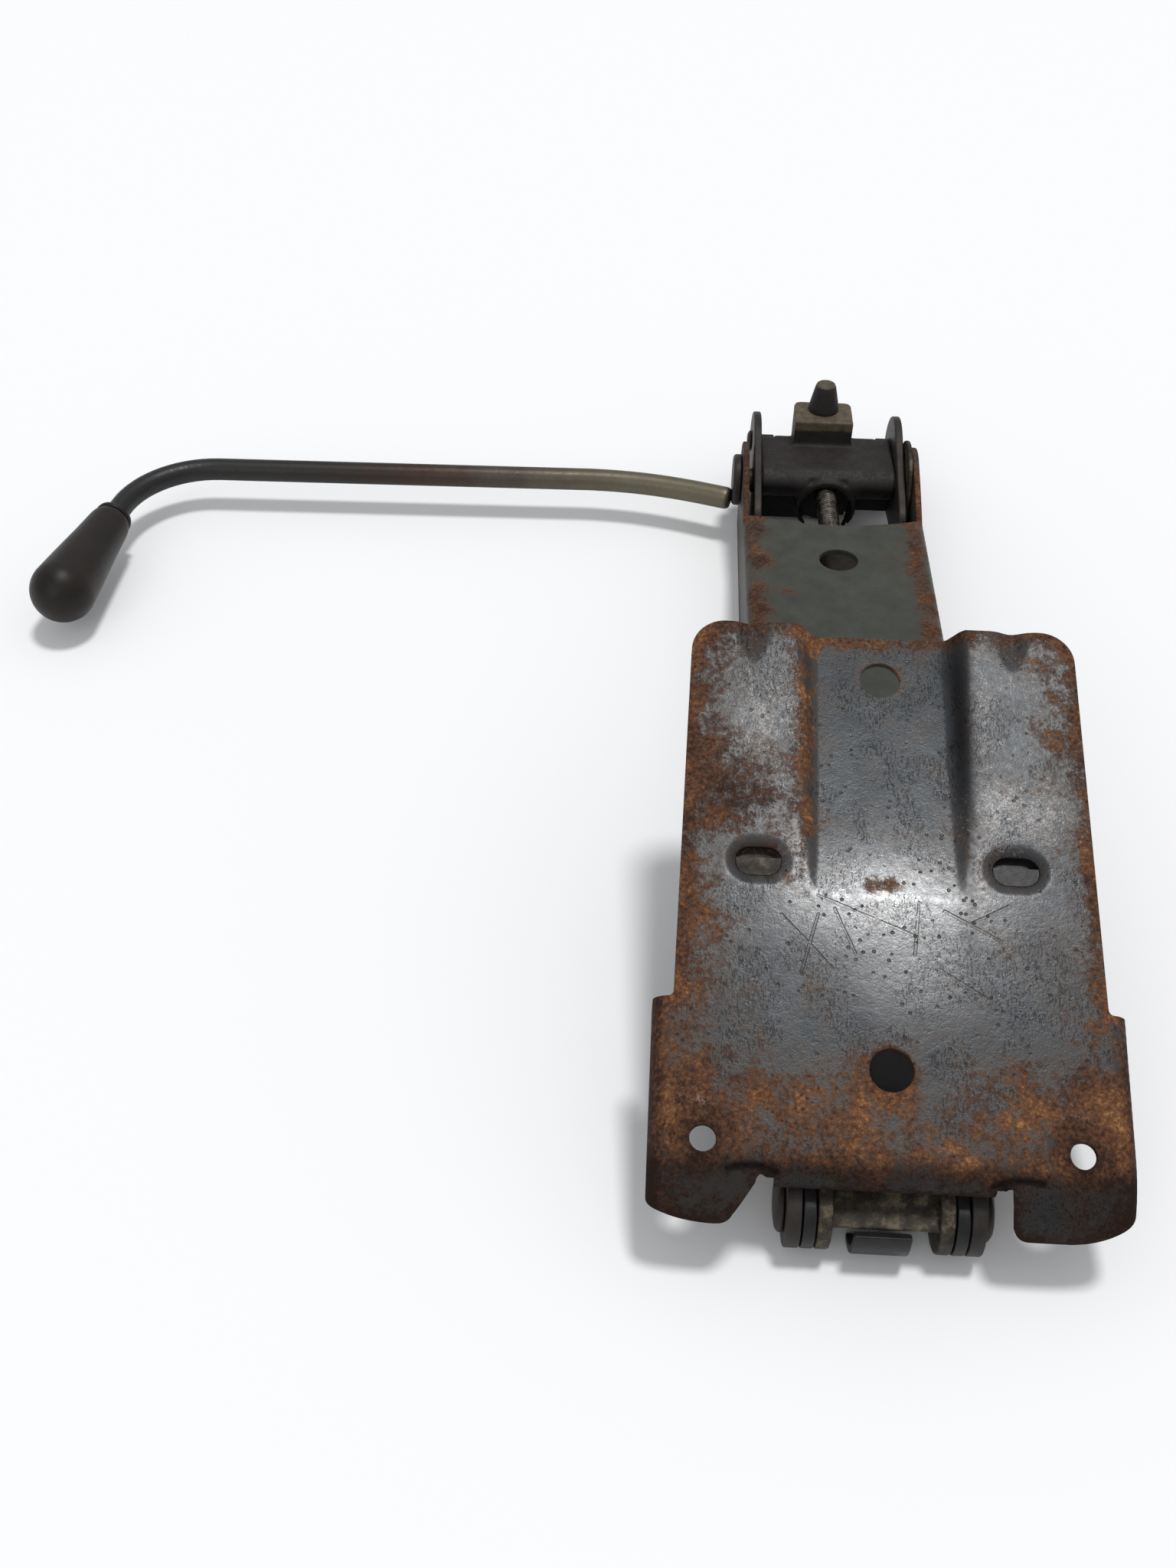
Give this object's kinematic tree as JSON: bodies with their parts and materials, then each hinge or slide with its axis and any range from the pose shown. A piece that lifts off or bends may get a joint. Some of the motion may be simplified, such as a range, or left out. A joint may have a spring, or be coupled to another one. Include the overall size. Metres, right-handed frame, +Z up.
{
  "type": "tilting support arm with mounting plate and clamp lever",
  "caption": "Hinged channel arm carrying a pressed mounting plate with bolt holes and slots; a side clamp lever with a teardrop knob locks the tilting head at its far end.",
  "frame": {"origin": "on the flat top face of the arm, on its centre line, below the mounting plate's far hole", "axes": "+X across the arm to the side away from the lever, +Y towards the far end with the lever, +Z up with the arm lying on its flange edges"},
  "size_m": [0.471, 0.4963, 0.1212],
  "materials": {
    "plate_steel": "worn blue-grey paint over rusty sheet steel",
    "arm_paint": "dull dark green-grey paint with rust",
    "dark_steel": "dark rusty steel",
    "brassy_steel": "worn steel with old yellow plating",
    "black_steel": "black painted steel",
    "cast_brown": "dark brown casting",
    "zinc_steel": "aged zinc plating",
    "knob_black": "near-black moulded plastic"
  },
  "bodies": {
    "arm": {"arm_channel": "arm_paint", "hinge_yoke": "black_steel", "hinge_pin": "dark_steel", "pin_collar": "dark_steel", "friction_plate": "brassy_steel", "pivot_stub": "dark_steel", "arm_under_plate": "dark_steel"},
    "plate": {"mount_plate": "plate_steel", "hinge_leaf_left": "dark_steel", "hinge_leaf_right": "dark_steel", "inner_bracket": "brassy_steel", "stop_tab": "black_steel", "slot_lug_left": "brassy_steel", "slot_lug_right": "brassy_steel"},
    "head": {"head_cheek_left": "dark_steel", "head_cheek_right": "dark_steel", "head_block": "cast_brown", "cheek_rivet_left": "dark_steel", "cheek_rivet_right": "dark_steel", "head_stud": "dark_steel"},
    "screw": {"tension_screw": "zinc_steel", "tension_nut": "zinc_steel"},
    "lever": {"lever_hub": "dark_steel", "lever_bar": "zinc_steel", "lever_knob": "knob_black", "knob_collar": "knob_black"}
  },
  "joints": [
    {"name": "plate_tilt", "type": "hinge", "parent": "arm", "child": "plate", "pos_m": [0, -0.195, -0.03759], "axis": [1, 0, 0], "range_deg": [-8, 30]},
    {"name": "head_tilt", "type": "hinge", "parent": "arm", "child": "head", "pos_m": [0, 0.22082, -0.02424], "axis": [1, 0, 0], "range_deg": [-3, 20]},
    {"name": "screw_turn", "type": "hinge", "parent": "head", "child": "screw", "pos_m": [0, 0.22038, -0.03022], "axis": [0, 0.9973, -0.0732], "continuous": true},
    {"name": "lever_turn", "type": "hinge", "parent": "arm", "child": "lever", "pos_m": [0, 0.22082, -0.02424], "axis": [1, 0, 0], "range_deg": [-60, 0]}
  ]
}
